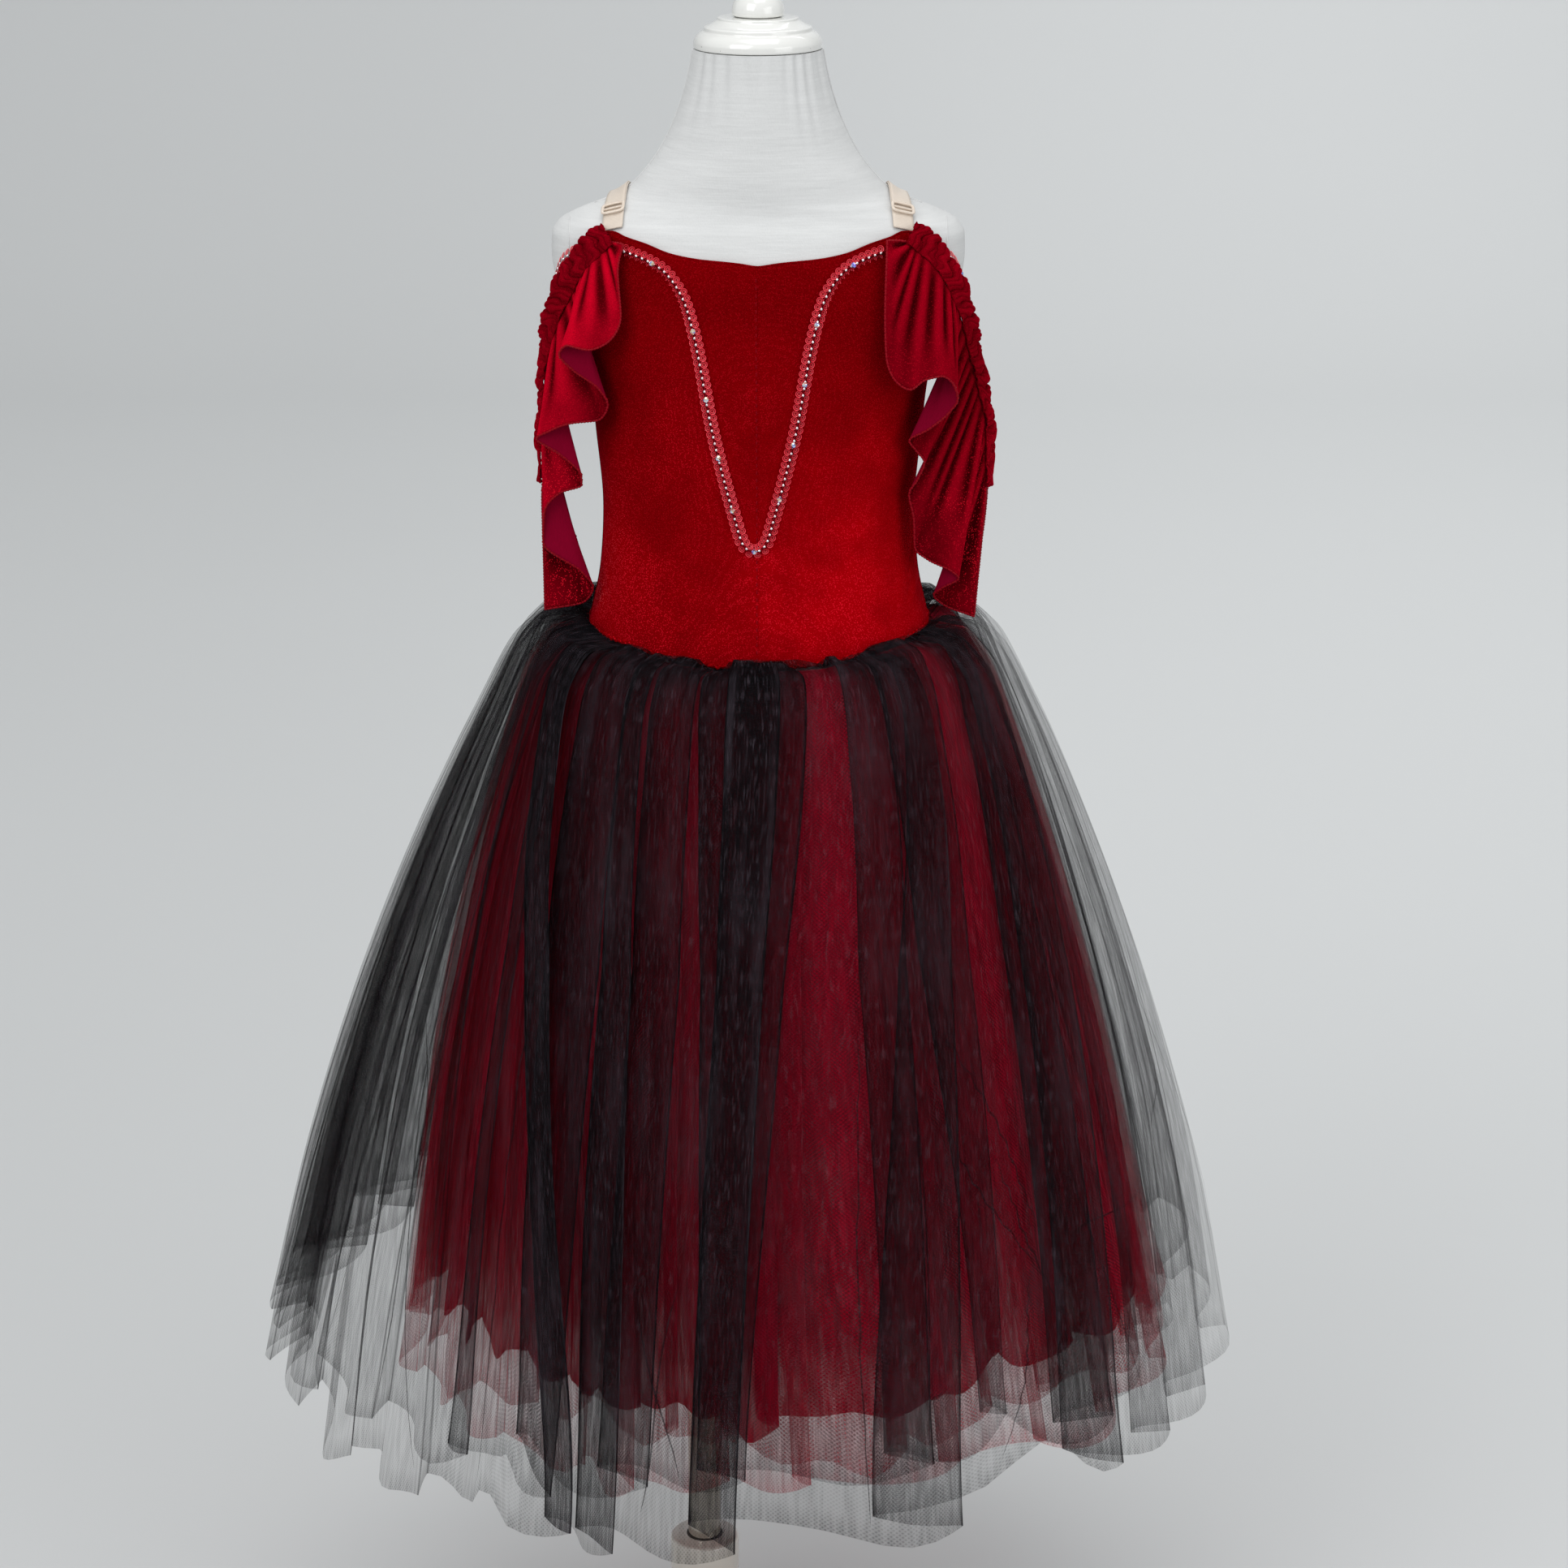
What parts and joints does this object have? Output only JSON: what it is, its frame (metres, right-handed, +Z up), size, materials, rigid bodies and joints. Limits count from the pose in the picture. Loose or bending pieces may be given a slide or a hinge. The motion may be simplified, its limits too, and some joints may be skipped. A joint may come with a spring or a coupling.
{
  "type": "ballet dress on a dress form",
  "caption": "Child's ballet dress with a velvet bodice, ruched waterfall sleeves and a long gathered tulle skirt, worn by a limbless dress form on a pole with a round base.",
  "frame": {"origin": "middle of the stand's underside, on the floor under the pole", "axes": "+Z up along the pole, -Y the way that the dress faces, +X to the viewer's right from the front"},
  "size_m": [0.7032, 0.7037, 1.295],
  "materials": {
    "velvet": "stretch velvet with a fine sparkle",
    "sleeve_velvet": "stretch velvet with a fine sparkle, matte on its back",
    "black_tulle": "soft net",
    "red_tulle": "soft net",
    "bead_trim": "cup sequins and cut beads",
    "elastic": "satin elastic",
    "clear_plastic": "clear, slightly milky",
    "form_cloth": "stretched linen-look cover",
    "white_gloss": "lacquered",
    "ivory_gloss": "lacquered",
    "chrome": "polished"
  },
  "bodies": {
    "root": {"bodice_front_left": "velvet", "bodice_front_right": "velvet", "bodice_back": "velvet", "neckline_trim": "bead_trim", "sleeve_ruching_left": "sleeve_velvet", "sleeve_ruching_right": "sleeve_velvet", "sleeve_front_flounce_left": "sleeve_velvet", "sleeve_front_flounce_right": "sleeve_velvet", "sleeve_back_flounce_left": "sleeve_velvet", "sleeve_back_flounce_right": "sleeve_velvet", "sleeve_trim_left": "bead_trim", "sleeve_trim_right": "bead_trim", "strap_left": "elastic", "strap_right": "elastic", "slider_left": "clear_plastic", "slider_right": "clear_plastic", "skirt_black_tulle": "black_tulle", "skirt_red_tulle": "red_tulle", "form_torso": "form_cloth", "form_neck_cap": "white_gloss", "form_knob": "white_gloss", "stand_pole": "chrome", "stand_collar": "ivory_gloss", "stand_base": "ivory_gloss"}
  },
  "joints": []
}
